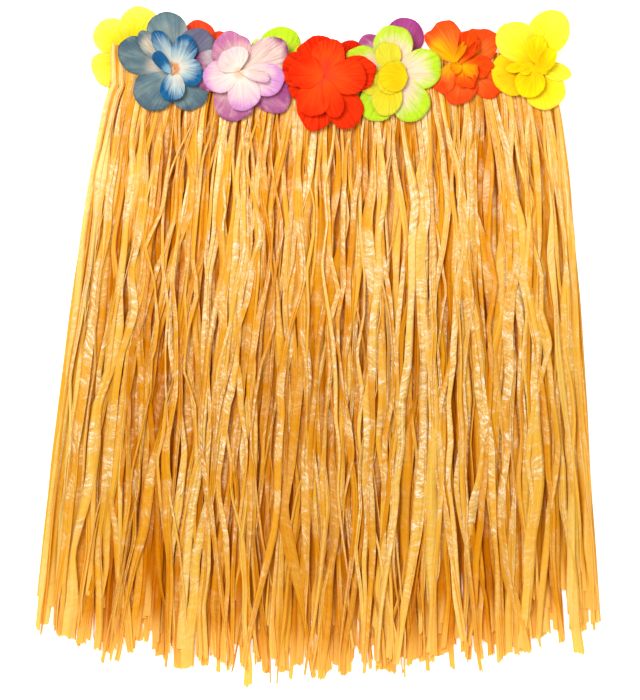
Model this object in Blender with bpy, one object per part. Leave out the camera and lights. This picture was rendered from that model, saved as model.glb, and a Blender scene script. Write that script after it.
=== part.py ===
# Grass skirt laid flat, face up: a gathered waistband, four fringes of raffia
# ribbon and twelve cloth flowers of two petal layers each.
# +X runs across the skirt, +Y up to the waist, +Z off the table. Sizes in mm.

import math
import random

import bmesh
import bpy
from mathutils import Vector

MM = 0.001
SEAM = 0.3

# Waistband: one tube of tape pressed flat, a little lower in the middle.
WAIST_X = 8.0
WAIST_HALF = 163.5
WAIST_FOOT_Y = 192.0
WAIST_DIP = 6.0
TAPE_HEIGHT = 24.0
TAPE_WALL = 1.5
TAPE_BACK_Z = 3.9
TAPE_FRONT_Z = 9.1
GATHERS = 24
GATHER_DEPTH = 0.5
GATHER_FRILL = 0.7

# Fringe: the outline that the ribbons fill, from the waist down to the hem.
STRIP_HALF = 160.0
STRIP_HEIGHT = 4.0
STRIP_THICK = 1.0
FLARE = 46.0
FLARE_POWER = 0.65
FLARE_END_Y = -212.0
HEM_Y = -240.5
HEM_HALF = 206.0
HEM_RISE = 33.0
HEM_POWER = 2.2
RIBBON_THICK = 0.8
ROOT_FILL = 0.88
STRIP_STEP = 5

# One row for each fringe: its name, its ribbons, how far its strip's top lies
# above the tape's lower edge, the strip's underside, the undersides of its
# lower and upper ribbons further down, the ribbons' least and greatest width,
# how far a ribbon's edge may dip and rise in the two layers, how far the ends
# may fall short of and pass the hem line, the heights where the ribbons bend,
# and at which of these bends they have parted and at which they are full wide.
FRINGES = (
    {
        "name": "fringe_front_outer",
        "ribbons": 70,
        "strip_top": 3.0,
        "strip_z": 9.4,
        "ribbon_z": (8.6, 10.2),
        "width": (5.6, 8.0),
        "tilt": ((0.2, 0.2), (0.2, 0.9)),
        "short": 13.0,
        "long": 7.0,
        "bends_y": (176.0, 158.0, 118.0, 20.0, -95.0),
        "parts_at": (1, 2),
        "wide_at": 2,
        "seed": 11,
    },
    {
        "name": "fringe_front_inner",
        "ribbons": 54,
        "strip_top": -SEAM,
        "strip_z": 8.1,
        "ribbon_z": (5.8, 7.2),
        "width": (7.0, 10.5),
        "tilt": ((0.2, 0.2), (0.2, 0.2)),
        "short": 16.0,
        "long": 3.0,
        "bends_y": (158.0, 120.0, -45.0),
        "parts_at": (0, 0),
        "wide_at": 1,
        "seed": 12,
    },
    {
        "name": "fringe_back_inner",
        "ribbons": 54,
        "strip_top": -SEAM,
        "strip_z": 3.9,
        "ribbon_z": (3.0, 4.4),
        "width": (7.0, 10.5),
        "tilt": ((0.2, 0.2), (0.2, 0.2)),
        "short": 16.0,
        "long": 3.0,
        "bends_y": (158.0, 120.0, -45.0),
        "parts_at": (0, 0),
        "wide_at": 1,
        "seed": 13,
    },
    {
        "name": "fringe_back_outer",
        "ribbons": 70,
        "strip_top": 3.0,
        "strip_z": 2.6,
        "ribbon_z": (0.0, 1.4),
        "width": (5.6, 8.0),
        "tilt": ((0.0, 0.0), (0.2, 0.2)),
        "short": 15.0,
        "long": 5.0,
        "bends_y": (177.0, 158.0, 120.0, -20.0),
        "parts_at": (1, 1),
        "wide_at": 2,
        "seed": 14,
    },
)

# Petal layers: thickness, how deep the slits between petals run, and the
# heights that a layer's underside has at the centre and at three radii.
PETAL_THICK = 1.0
SLIT_DEPTH = 0.6
LEVEL_RADII = (0.0, 8.0, 19.0, 36.0)
LEVELS = {
    "low": (9.4, 10.7, 10.8, 11.2),
    "middle": (9.4, 11.0, 13.0, 13.4),
    "high": (9.4, 12.2, 15.8, 17.2),
}

# Front flowers, left to right: name, centre x and y, level, then the angle in
# degrees and the radius of each outer petal and of each inner petal, and how
# far the inner petals' tips rise over the outer layer.
FRONT_FLOWERS = (
    {
        "name": "blue",
        "at": (-110.7, 206.5),
        "level": "low",
        "outer": ((30, 35.0), (90, 37.0), (168, 35.5), (245, 37.5), (308, 37.5)),
        "inner": ((-8, 21.0), (55, 25.0), (113, 27.5), (168, 16.0), (262, 22.5)),
        "rise": 3.0,
    },
    {
        "name": "violet",
        "at": (-57.0, 199.0),
        "level": "middle",
        "outer": ((42, 34.0), (112, 32.0), (176, 30.5), (260, 35.5), (322, 36.5)),
        "inner": ((55, 15.0), (135, 22.0), (207, 24.0), (275, 27.5), (335, 28.0)),
        "rise": 1.0,
    },
    {
        "name": "red",
        "at": (6.5, 195.7),
        "level": "high",
        "outer": ((14, 35.0), (85, 30.0), (152, 33.5), (238, 36.0), (300, 38.0)),
        "inner": ((2, 27.0), (80, 27.0), (160, 26.0), (232, 29.0), (290, 28.0)),
        "rise": 2.0,
    },
    {
        "name": "green",
        "at": (54.0, 197.0),
        "level": "middle",
        "outer": ((11, 35.5), (88, 36.5), (148, 34.0), (236, 35.0), (297, 37.0)),
        "inner": ((32, 12.0), (102, 24.0), (190, 20.5), (262, 27.0), (325, 14.0)),
        "rise": 1.1,
    },
    {
        "name": "orange",
        "at": (104.8, 203.8),
        "level": "low",
        "outer": ((50, 33.0), (124, 35.5), (205, 28.5), (264, 28.5), (328, 30.5)),
        "inner": ((20, 15.0), (85, 17.0), (150, 13.5), (235, 17.0), (310, 19.0)),
        "rise": 2.4,
    },
    {
        "name": "yellow",
        "at": (157.5, 206.0),
        "level": "middle",
        "outer": ((70, 39.5), (130, 35.0), (200, 33.0), (294, 34.5), (344, 28.0)),
        "inner": ((32, 15.0), (112, 16.0), (186, 20.0), (259, 24.0), (320, 12.0)),
        "rise": 1.6,
    },
)

# Back flowers, left to right as they lie under the skirt: name, centre, the
# reach to each side before the next flower, the angle of the first of five
# even petals, the petals' radius, and how far the petals that stand over the
# tape's upper edge turn up.
BACK_FLOWERS = (
    {
        "name": "yellow",
        "at": (-138.0, 212.5),
        "reach": (60.0, 25.5),
        "turn": 79,
        "radius": 34.5,
        "curl": 2.4,
    },
    {
        "name": "orange_red",
        "at": (-86.0, 207.0),
        "reach": (25.5, 27.5),
        "turn": 93,
        "radius": 31.0,
        "curl": 1.8,
    },
    {
        "name": "lime",
        "at": (-30.0, 201.0),
        "reach": (27.5, 21.5),
        "turn": 84,
        "radius": 32.0,
        "curl": 2.2,
    },
    {
        "name": "dark_red",
        "at": (13.8, 197.0),
        "reach": (21.5, 20.8),
        "turn": 66,
        "radius": 28.0,
        "curl": 1.6,
    },
    {
        "name": "purple",
        "at": (55.9, 206.5),
        "reach": (20.8, 26.5),
        "turn": 69,
        "radius": 34.0,
        "curl": 2.6,
    },
    {
        "name": "dark_blue",
        "at": (109.6, 201.5),
        "reach": (26.5, 60.0),
        "turn": 54,
        "radius": 33.0,
        "curl": 2.0,
    },
)
BACK_LOWEST_Y = 180.0
BACK_INNER_RADIUS = 21.0
BACK_OUTER_Z = 1.3
BACK_CENTRE_Z = 2.6

COLOURS = {
    "raffia": (0.77, 0.43, 0.10),
    "tape": (0.80, 0.47, 0.13),
    "blue_outer": (0.18, 0.27, 0.29),
    "blue_inner": (0.14, 0.45, 0.60),
    "violet_outer": (0.62, 0.28, 0.50),
    "violet_inner": (0.88, 0.62, 0.72),
    "red": (0.90, 0.04, 0.01),
    "green_outer": (0.85, 0.80, 0.45),
    "green_inner": (0.86, 0.66, 0.02),
    "orange": (0.92, 0.20, 0.03),
    "yellow": (0.95, 0.85, 0.03),
    "orange_red": (0.85, 0.12, 0.04),
    "lime": (0.60, 0.85, 0.06),
    "dark_red": (0.68, 0.08, 0.01),
    "purple": (0.50, 0.10, 0.25),
    "dark_blue": (0.03, 0.16, 0.32),
}


def material(name, roughness):
    found = bpy.data.materials.get(name)
    if found:
        return found
    made = bpy.data.materials.new(name)
    made.use_nodes = True
    shader = made.node_tree.nodes["Principled BSDF"]
    shader.inputs["Base Color"].default_value = (*COLOURS[name], 1.0)
    shader.inputs["Roughness"].default_value = roughness
    return made


def make_object(name, bm, colour, roughness):
    bmesh.ops.recalc_face_normals(bm, faces=bm.faces)
    mesh = bpy.data.meshes.new(name)
    bm.to_mesh(mesh)
    bm.free()
    mesh.materials.append(material(colour, roughness))
    made = bpy.data.objects.new(name, mesh)
    bpy.context.scene.collection.objects.link(made)
    return made


def point(bm, x, y, z):
    return bm.verts.new(Vector((x, y, z)) * MM)


def between(low, high, value):
    share = min(max((value - low) / (high - low), 0.0), 1.0)
    return share * share * (3.0 - 2.0 * share)


def foot_y(x):
    across = min(abs(x - WAIST_X) / WAIST_HALF, 1.0)
    return WAIST_FOOT_Y - WAIST_DIP * (1.0 - across * across)


# ---- waistband

def race_track(half, low_z, high_z, per_face, per_end):
    """Share of the way round, x and z, once round a flattened loop."""
    radius = (high_z - low_z) / 2.0
    straight = half - radius
    middle = (high_z + low_z) / 2.0
    loop = []
    for step in range(per_face):
        along = step / per_face
        loop.append((0.5 * along, WAIST_X - straight + 2.0 * straight * along, high_z, 1.0))
    for step in range(per_end):
        turn = math.pi * step / per_end
        x = WAIST_X + straight + radius * math.sin(turn)
        loop.append((0.5 - 0.001 * (per_end - step), x, middle + radius * math.cos(turn), 0.0))
    for step in range(per_face):
        along = step / per_face
        loop.append((0.5 + 0.5 * along, WAIST_X + straight - 2.0 * straight * along, low_z, -1.0))
    for step in range(per_end):
        turn = math.pi * step / per_end
        x = WAIST_X - straight - radius * math.sin(turn)
        loop.append((1.0 - 0.001 * (per_end - step), x, middle - radius * math.cos(turn), 0.0))
    return loop


def zip_rims(bm, first, second):
    """Triangles between two closed loops of (share, vertex)."""
    a = 0
    b = 0
    while a < len(first) or b < len(second):
        next_a = first[a + 1][0] if a + 1 < len(first) else 1.0
        next_b = second[b + 1][0] if b + 1 < len(second) else 1.0
        vert_a = first[a % len(first)][1]
        vert_b = second[b % len(second)][1]
        if b >= len(second) or (a < len(first) and next_a <= next_b):
            bm.faces.new((vert_a, first[(a + 1) % len(first)][1], vert_b))
            a += 1
        else:
            bm.faces.new((vert_a, second[(b + 1) % len(second)][1], vert_b))
            b += 1


def make_waistband():
    bm = bmesh.new()
    # The outer points carry the gathers: two crests and a valley to each.
    outer = []
    for index, (share, x, z, side) in enumerate(
        race_track(WAIST_HALF, TAPE_BACK_Z, TAPE_FRONT_Z, GATHERS * 3, 4)
    ):
        valley = side != 0.0 and index % 3 == 0
        frill = GATHER_FRILL * math.sin(1.7 * index) if side else 0.0
        z -= side * GATHER_DEPTH if valley else 0.0
        low = point(bm, x, foot_y(x), z)
        high = point(bm, x, foot_y(x) + TAPE_HEIGHT + frill, z)
        outer.append((share, low, high))
    inner = []
    inner_low = TAPE_BACK_Z + TAPE_WALL
    inner_high = TAPE_FRONT_Z - TAPE_WALL
    for share, x, z, side in race_track(WAIST_HALF - TAPE_WALL, inner_low, inner_high, 12, 3):
        low = point(bm, x, foot_y(x), z)
        high = point(bm, x, foot_y(x) + TAPE_HEIGHT, z)
        inner.append((share, low, high))
    for loop in (outer, inner):
        for index in range(len(loop)):
            this = loop[index]
            after = loop[(index + 1) % len(loop)]
            bm.faces.new((this[1], after[1], after[2], this[2]))
    for edge in (1, 2):
        zip_rims(
            bm,
            [(entry[0], entry[edge]) for entry in outer],
            [(entry[0], entry[edge]) for entry in inner],
        )
    return make_object("waistband", bm, "tape", 0.5)


# ---- fringes

def spread(y):
    """Middle and half width of the skirt at a height."""
    drop = max((WAIST_FOOT_Y - y) / (WAIST_FOOT_Y - FLARE_END_Y), 0.0)
    half = STRIP_HALF + FLARE * drop ** FLARE_POWER
    middle = WAIST_X * (1.0 - min(drop, 1.0)) ** 1.5
    return middle, half


def hem_y(x):
    return HEM_Y + HEM_RISE * min(abs(x) / HEM_HALF, 1.0) ** HEM_POWER


def ribbon_rings(fringe, index, chance):
    """Sections of one ribbon from its root to its cut end."""
    count = fringe["ribbons"]
    pitch = 2.0 * STRIP_HALF / count
    root_x = WAIST_X - STRIP_HALF + pitch * (index + 0.5)
    root_half = pitch * ROOT_FILL / 2.0
    upper = index % 2
    dip, rise = fringe["tilt"][upper]
    full = chance.uniform(*fringe["width"])
    slack = pitch * 2.0 * 1.16 - full
    wander = 0.36 * max(min(slack, 4.0), 0.0)
    phase = chance.uniform(0.0, 6.28)
    waves = chance.uniform(0.7, 1.6)
    left_lift = chance.uniform(-dip, rise)
    right_lift = chance.uniform(-dip, min(rise, 0.9 - max(left_lift, 0.0)) if rise else 0.0)
    across = (root_x - WAIST_X) / (STRIP_HALF - pitch / 2.0)
    bends = fringe["bends_y"]
    rings = []
    for number, y in enumerate(bends + (None,)):
        end = y is None
        if end:
            middle, half = spread(hem_y(0.0))
            end_x = middle + across * half
            y = hem_y(end_x) + chance.uniform(-fringe["long"], fringe["short"])
        parted = 1.0 if number >= fringe["parts_at"][upper] else 0.0
        wide = 1.0 if number >= fringe["wide_at"] else 0.0
        width = full if wide else root_half * 2.0
        middle, half = spread(y)
        room = half - width / 2.0 if wide else half * (1.0 - pitch / 2.0 / STRIP_HALF)
        x = middle + across * room
        if wide:
            x += wander * math.sin(phase + waves * (y / 60.0)) * (1.0 - abs(across) ** 12)
        z = fringe["strip_z"] + (fringe["ribbon_z"][upper] - fringe["strip_z"]) * parted
        lift_l = left_lift if wide else 0.0
        lift_r = right_lift if wide else 0.0
        skew = chance.uniform(-2.6, 2.6) if end else 0.0
        left = (x - width / 2.0, y + skew, z + lift_l)
        right = (x + width / 2.0, y - skew, z + lift_r)
        rings.append((left, right))
    return root_x - root_half, root_x + root_half, rings


def make_fringe(fringe):
    bm = bmesh.new()
    chance = random.Random(fringe["seed"])
    low_z = fringe["strip_z"]
    high_z = low_z + STRIP_THICK
    left_x = WAIST_X - STRIP_HALF
    right_x = WAIST_X + STRIP_HALF

    def strip_pair(x, lift):
        y = foot_y(x) + fringe["strip_top"] + lift
        return (point(bm, x, y, low_z), point(bm, x, y, high_z))

    foot = [strip_pair(left_x, -STRIP_HEIGHT)]
    tops = [(0, strip_pair(left_x, 0.0))]
    roots = []
    for index in range(fringe["ribbons"]):
        left, right, rings = ribbon_rings(fringe, index, chance)
        foot.append(strip_pair(left, -STRIP_HEIGHT))
        foot.append(strip_pair(right, -STRIP_HEIGHT))
        roots.append((foot[-2], foot[-1], rings))
        if index % STRIP_STEP == STRIP_STEP - 1 and index < fringe["ribbons"] - 1:
            tops.append((len(foot) - 1, strip_pair(right, 0.0)))
    foot.append(strip_pair(right_x, -STRIP_HEIGHT))
    tops.append((len(foot) - 1, strip_pair(right_x, 0.0)))

    # The strip: two faces in runs of a few ribbons, its top, ends and gaps.
    flats = []
    for (start, top_a), (stop, top_b) in zip(tops, tops[1:]):
        for side in (0, 1):
            edge = [pair[side] for pair in foot[start:stop + 1]]
            flats.append(bm.faces.new(edge + [top_b[side], top_a[side]]))
        bm.faces.new((top_a[0], top_b[0], top_b[1], top_a[1]))
    for pair, top in ((foot[0], tops[0][1]), (foot[-1], tops[-1][1])):
        bm.faces.new((pair[0], top[0], top[1], pair[1]))
    for start in range(0, len(foot) - 1, 2):
        first = foot[start]
        second = foot[start + 1]
        bm.faces.new((first[0], second[0], second[1], first[1]))
    bmesh.ops.triangulate(bm, faces=flats, ngon_method="EAR_CLIP")

    # The ribbons: a four-sided tube from each root to its end.
    for left_root, right_root, rings in roots:
        last = (left_root[0], right_root[0], right_root[1], left_root[1])
        for left, right in rings:
            ring = (
                point(bm, *left),
                point(bm, *right),
                point(bm, right[0], right[1], right[2] + RIBBON_THICK),
                point(bm, left[0], left[1], left[2] + RIBBON_THICK),
            )
            for corner in range(4):
                after = (corner + 1) % 4
                bm.faces.new((last[corner], last[after], ring[after], ring[corner]))
            last = ring
        bm.faces.new(last)
    return make_object(fringe["name"], bm, "raffia", 0.45)


# ---- flowers

def level_z(level, radius):
    heights = LEVELS[level]
    for low, high, below, above in zip(LEVEL_RADII, LEVEL_RADII[1:], heights, heights[1:]):
        if radius <= high:
            return below + (above - below) * (radius - low) / (high - low)
    return heights[-1]


def petal_edge(petals, samples):
    """Angle, radius and share across the petal, all round the layer."""
    edge = []
    count = len(petals)
    for index, (angle, radius) in enumerate(petals):
        before = petals[index - 1]
        after = petals[(index + 1) % count]
        gap_before = (angle - before[0]) % 360
        gap_after = (after[0] - angle) % 360
        for step in range(samples):
            place = -1.0 + 2.0 * step / samples
            turn = place * (gap_before if place < 0 else gap_after) / 2.0
            slit = SLIT_DEPTH * min(radius, before[1] if place < 0 else after[1])
            bulge = (1.0 - abs(place) ** 4) ** 0.5
            edge.append((math.radians(angle + turn), slit + (radius - slit) * bulge, place))
    return edge


def make_layer(name, centre, edge, ring_radii, under_z, colour):
    """A petal layer: a sheet of rings about its centre, one thickness deep."""
    bm = bmesh.new()
    sides = []
    for lift in (0.0, PETAL_THICK):
        hub = point(bm, centre[0], centre[1], under_z(0.0, 0.0, 0.0) + lift)
        rings = []
        for ring in range(len(ring_radii) + 1):
            row = []
            for angle, radius, place in edge:
                last = ring == len(ring_radii)
                reach = radius if last else min(ring_radii[ring], radius * (0.45 + 0.3 * ring))
                x = centre[0] + reach * math.cos(angle)
                y = centre[1] + reach * math.sin(angle)
                row.append(point(bm, x, y, under_z(reach, angle, place if last else 0.0) + lift))
            rings.append(row)
        sides.append((hub, rings))
    count = len(edge)
    for hub, rings in sides:
        for index in range(count):
            after = (index + 1) % count
            bm.faces.new((hub, rings[0][index], rings[0][after]))
            for near, far in zip(rings, rings[1:]):
                bm.faces.new((near[index], far[index], far[after]))
                bm.faces.new((near[index], far[after], near[after]))
    low_rim = sides[0][1][-1]
    high_rim = sides[1][1][-1]
    for index in range(count):
        after = (index + 1) % count
        bm.faces.new((low_rim[index], low_rim[after], high_rim[after]))
        bm.faces.new((low_rim[index], high_rim[after], high_rim[index]))
    return make_object(name, bm, colour, 0.7)


def make_front_flower(number, flower):
    base = f"flower_front_{number}_{flower['name']}"
    level = flower["level"]
    shade = flower["name"]
    outer_colour = shade + "_outer" if shade + "_outer" in COLOURS else shade
    inner_colour = shade + "_inner" if shade + "_inner" in COLOURS else shade

    def outer_z(radius, angle, place):
        return level_z(level, radius) + 0.25 * place * place

    def inner_z(radius, angle, place):
        clear = level_z(level, radius) + PETAL_THICK + SEAM
        return clear + flower["rise"] * between(4.0, 22.0, radius)

    make_layer(base + "_outer", flower["at"], petal_edge(flower["outer"], 6), (8.0, 19.0), outer_z, outer_colour)
    make_layer(base + "_inner", flower["at"], petal_edge(flower["inner"], 5), (8.0,), inner_z, inner_colour)


def make_back_flower(number, flower):
    base = f"flower_back_{number}_{flower['name']}"
    left, right = flower["reach"]
    turn = flower["turn"]
    tape_top = foot_y(flower["at"][0]) + TAPE_HEIGHT

    def kept(edge):
        # Petals stop short of the next flower, and of the ribbons' bend.
        held = []
        for angle, radius, place in edge:
            across = math.cos(angle)
            limit = (right if across > 0 else left) / max(abs(across), 0.01)
            down = max(-math.sin(angle), 0.01)
            low = (flower["at"][1] - BACK_LOWEST_Y) / down
            held.append((angle, min(radius, limit, low), place))
        return held

    def outer_z(radius, angle, place):
        above = flower["at"][1] + radius * math.sin(angle) - tape_top - 2.0
        turned_up = flower["curl"] * between(0.0, 16.0, above)
        centre = BACK_CENTRE_Z - BACK_OUTER_Z
        return BACK_OUTER_Z + turned_up + centre * (1.0 - between(0.0, 7.0, radius))

    def inner_z(radius, angle, place):
        return 0.0

    outer = [(turn + 72 * petal, flower["radius"]) for petal in range(5)]
    inner = [(turn + 36 + 72 * petal, BACK_INNER_RADIUS) for petal in range(5)]
    make_layer(base + "_outer", flower["at"], kept(petal_edge(outer, 5)), (8.0,), outer_z, flower["name"])
    make_layer(base + "_inner", flower["at"], kept(petal_edge(inner, 4)), (), inner_z, flower["name"])


for old in list(bpy.data.objects):
    bpy.data.objects.remove(old, do_unlink=True)

make_waistband()
for fringe in FRINGES:
    make_fringe(fringe)
for number, flower in enumerate(FRONT_FLOWERS, 1):
    make_front_flower(number, flower)
for number, flower in enumerate(BACK_FLOWERS, 1):
    make_back_flower(number, flower)
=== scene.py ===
import math
import random

import bmesh
import bpy
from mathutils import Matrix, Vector


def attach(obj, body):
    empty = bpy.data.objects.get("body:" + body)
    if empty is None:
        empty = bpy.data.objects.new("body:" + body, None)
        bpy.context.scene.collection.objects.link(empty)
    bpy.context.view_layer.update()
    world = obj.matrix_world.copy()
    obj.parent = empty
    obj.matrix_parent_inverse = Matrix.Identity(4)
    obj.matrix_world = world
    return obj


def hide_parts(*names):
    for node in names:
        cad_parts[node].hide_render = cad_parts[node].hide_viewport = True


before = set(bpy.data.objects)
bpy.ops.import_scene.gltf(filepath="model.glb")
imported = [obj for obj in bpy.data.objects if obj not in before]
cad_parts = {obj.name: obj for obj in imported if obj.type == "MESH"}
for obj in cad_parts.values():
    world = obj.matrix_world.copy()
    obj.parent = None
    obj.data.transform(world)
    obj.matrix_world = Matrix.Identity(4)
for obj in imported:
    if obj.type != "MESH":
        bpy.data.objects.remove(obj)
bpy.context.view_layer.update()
print("packed skirt loaded")

mm = 0.001


# a socket that can be used in sums, in shader trees and geometry trees alike
class Wire:
    def __init__(self, tree, socket=None):
        self.tree = tree
        self.socket = socket

    # settings go on first, because some of them change which sockets there are
    def make(self, kind, inputs=None, output=0, **settings):
        node = self.tree.nodes.new(kind)
        stops = settings.pop("stops", None)
        for name, value in settings.items():
            setattr(node, name, value)
        if stops:
            ramp = node.color_ramp.elements
            while len(ramp) < len(stops):
                ramp.new(0.5)
            for element, (place, colour) in zip(ramp, stops):
                element.position = place
                element.color = (*colour, 1.0)
        for name, value in (inputs or {}).items():
            if isinstance(value, Wire):
                self.tree.links.new(value.socket, node.inputs[name])
            else:
                # a colour is given without its alpha
                node.inputs[name].default_value = (*value, 1.0) if isinstance(value, tuple) else value
        return Wire(self.tree, node.outputs[output])

    def maths(self, operation, first, second=0.0):
        return self.make("ShaderNodeMath", {0: first, 1: second}, operation=operation)

    def __add__(self, other):
        return self.maths("ADD", self, other)

    def __sub__(self, other):
        return self.maths("SUBTRACT", self, other)

    def __mul__(self, other):
        return self.maths("MULTIPLY", self, other)

    def __truediv__(self, other):
        return self.maths("DIVIDE", self, other)

    def __pow__(self, other):
        return self.maths("POWER", self, other)

    def __radd__(self, other):
        return self.maths("ADD", other, self)

    def __rsub__(self, other):
        return self.maths("SUBTRACT", other, self)

    def sine(self):
        return self.maths("SINE", self)

    def size(self):
        return self.maths("ABSOLUTE", self)

    def atLeast(self, low):
        return self.maths("MAXIMUM", self, low)

    def atMost(self, high):
        return self.maths("MINIMUM", self, high)

    # 0 below low, 1 above high, eased between
    def rising(self, low, high):
        inputs = {"Value": self, "From Min": low, "From Max": high}
        return self.make("ShaderNodeMapRange", inputs, interpolation_type="SMOOTHSTEP")

    def noise(self, scale, detail=2.0, rough=0.5):
        inputs = {"Vector": self, "Scale": scale, "Detail": detail, "Roughness": rough}
        return self.make("ShaderNodeTexNoise", inputs)

    def vector(self, x, y, z):
        return self.make("ShaderNodeCombineXYZ", {"X": x, "Y": y, "Z": z})

    def blend(self, first, second, how="MIX"):
        inputs = {0: self, 6: first, 7: second}
        return self.make("ShaderNodeMix", inputs, 2, data_type="RGBA", blend_type=how)

    def bump(self, height, strength, depth):
        inputs = {"Strength": strength, "Distance": depth, "Height": height}
        return self.make("ShaderNodeBump", inputs)


def newMaterial(name):
    made = bpy.data.materials.new(name)
    made.use_nodes = True
    made.node_tree.nodes.clear()
    return made, Wire(made.node_tree)


def newObject(name, data):
    made = bpy.data.objects.new(name, data)
    bpy.context.scene.collection.objects.link(made)
    return made


def attribute(wire, name, output=2):
    return wire.make("ShaderNodeAttribute", None, output, attribute_name=name)


def finishMaterial(wire, shader):
    node = wire.tree.nodes.new("ShaderNodeOutputMaterial")
    wire.tree.links.new(shader.socket, node.inputs["Surface"])


raffiaLook = {
    "deep": (0.66, 0.25, 0.001),
    "gold": (0.865, 0.46, 0.026),
    "straw": (0.96, 0.68, 0.125),
    "pale": (0.99, 0.90, 0.37),
    "pearlSheen": (0.96, 0.79, 0.32),
    "glint": (1.0, 0.98, 0.84),
    "crumpleShade": (0.66, 0.36, 0.07),
    "hem": (0.84, 0.775, 0.56),
    "sunkShade": (0.76, 0.36, 0.03),
    "tip": (0.95, 0.65, 0.15),
    "rim": (0.78, 0.56, 0.22),
    "through": (1.0, 0.64, 0.03),
    "ribbonWidth": 6.0 * mm,
    "ribbonLength": 450.0 * mm,
    "streakScale": 230.0,
    "patchScale": 30.0,
    "creaseScale": 300.0,
    "speckleScale": 900.0,
    "bump": 0.6,
    "bumpDepth": 0.4 * mm,
    "coatRoughness": 0.22,
    "throughShare": 0.45,
}


def makeRaffia(look):
    made, wire = newMaterial("raffia")
    along = attribute(wire, "along")
    across = attribute(wire, "across")
    ribbon = attribute(wire, "ribbon")
    pearly = attribute(wire, "pearly")
    light = attribute(wire, "light")
    width = across * (look["ribbonWidth"] / 2.0)
    length = along * look["ribbonLength"]
    tone = wire.make("ShaderNodeTexWhiteNoise", {"W": ribbon}, noise_dimensions="1D")
    # film streaks run the length of a ribbon
    streakAt = wire.vector(width * 9.0, length * 0.12, ribbon * 0.37)
    streaks = streakAt.noise(look["streakScale"], 3.0, 0.6)
    # patches of crumpled film, each a run of short creases across the ribbon
    patchAt = wire.vector(width * 0.8, length, ribbon * 0.53)
    patches = patchAt.noise(look["patchScale"], 4.0, 0.6).rising(0.44, 0.57)
    crumpled = (patches * pearly * 1.5 + pearly.rising(0.55, 0.9) * 0.22).atMost(1.0)
    crumpled = crumpled * (1.0 - along.rising(0.7, 0.95) * 0.8)
    bendAt = wire.vector(width, length, ribbon * 1.3)
    slant = (tone - 0.5) * 2.0 + (bendAt.noise(60.0, 1.0) - 0.5) * 7.0
    creaseAt = wire.vector(width * 0.45, length + width * slant, ribbon * 0.71)
    creases = creaseAt.noise(look["creaseScale"], 4.0, 0.82)
    speckleAt = wire.vector(width, length, ribbon * 0.91)
    speckles = speckleAt.noise(look["speckleScale"], 2.0, 0.6)
    shade = tone * 0.6 + streaks * 0.6 + creases * 0.5 + pearly * 0.4 + light - 0.55
    colour = wire.make(
        "ShaderNodeValToRGB",
        {"Fac": shade},
        stops=[(0.0, look["deep"]), (0.35, look["gold"]), (0.7, look["straw"]), (1.0, look["pale"])],
    )
    # crumpled patches are painted pale: a painted sheen where the crumpled film shines
    colour = (crumpled * 0.7).blend(colour, look["pearlSheen"])
    # painted shade in the valleys between the creases of crumpled film
    shadedValleys = crumpled * (1.0 - creases.rising(0.38, 0.48)) * 0.75
    colour = shadedValleys.blend(colour, look["crumpleShade"])
    lower = along.rising(0.15, 0.6) - along.rising(0.78, 0.98) * 0.7
    colour = lower.blend(colour, look["hem"], "MULTIPLY")
    glints = crumpled * (creases * 0.7 + speckles * 0.3).rising(0.525, 0.555)
    colour = glints.blend(colour, look["glint"])
    # painted shade: ribbons of the lower sets are darkened, as they lie in the shade of the pile
    sunkShade = (light * -1.0).atLeast(0.0)
    colour = sunkShade.blend(colour, look["sunkShade"], "MULTIPLY")
    # one edge of each ribbon is darker, which one is up to the ribbon: partly the film doubled along it,
    # partly painted shade
    onRight = (tone - 0.5).rising(-0.02, 0.02)
    onLeft = (0.5 - tone).rising(-0.02, 0.02)
    rim = (across * onRight + onLeft * (across * -1.0)).rising(0.55, 0.95)
    colour = (rim * 0.7).blend(colour, look["rim"], "MULTIPLY")
    # painted light: the ribbon ends are painted lighter, as light shines through the thin film at the hem
    tipGlow = along.rising(0.93, 0.99) * 0.65
    colour = tipGlow.blend(colour, look["tip"])
    height = creases * (crumpled * 1.2 + 0.35) + streaks * 0.6
    bump = wire.bump(height, look["bump"], look["bumpDepth"])
    film = wire.make(
        "ShaderNodeBsdfPrincipled",
        {
            "Base Color": colour,
            "Roughness": 0.5 - crumpled * 0.15,
            "Normal": bump,
            "Specular IOR Level": 0.0,
            "Coat Weight": crumpled * 0.5,
            "Coat Roughness": look["coatRoughness"],
        },
    )
    through = wire.make("ShaderNodeBsdfTranslucent", {"Color": look["through"]})
    finishMaterial(wire, wire.make("ShaderNodeMixShader", {0: look["throughShare"], 1: film, 2: through}))
    return made


skirt = {
    "waistX": 9.5 * mm,
    "waistHalf": 161.0 * mm,
    "bandFoot": 190.0 * mm,
    "bandTop": 217.0 * mm,
    "cornerRise": 4.5 * mm,
    "dip": 6.0 * mm,
    "flare": 44.5 * mm,
    "flarePower": 0.65,
    "flareEnd": -212.0 * mm,
    "hemY": -240.5 * mm,
    "hemRise": 33.0 * mm,
    "hemPower": 2.2,
    "headRagged": 1.5 * mm,
    "heightPlay": 0.5 * mm,
    "lowest": 0.25 * mm,
    "kickFrom": 0.72,
    "askew": 1.0 * mm,
    "torn": 1.6 * mm,
    "leftApart": 3.5 * mm,
    "sideLight": 0.44,
}

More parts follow.
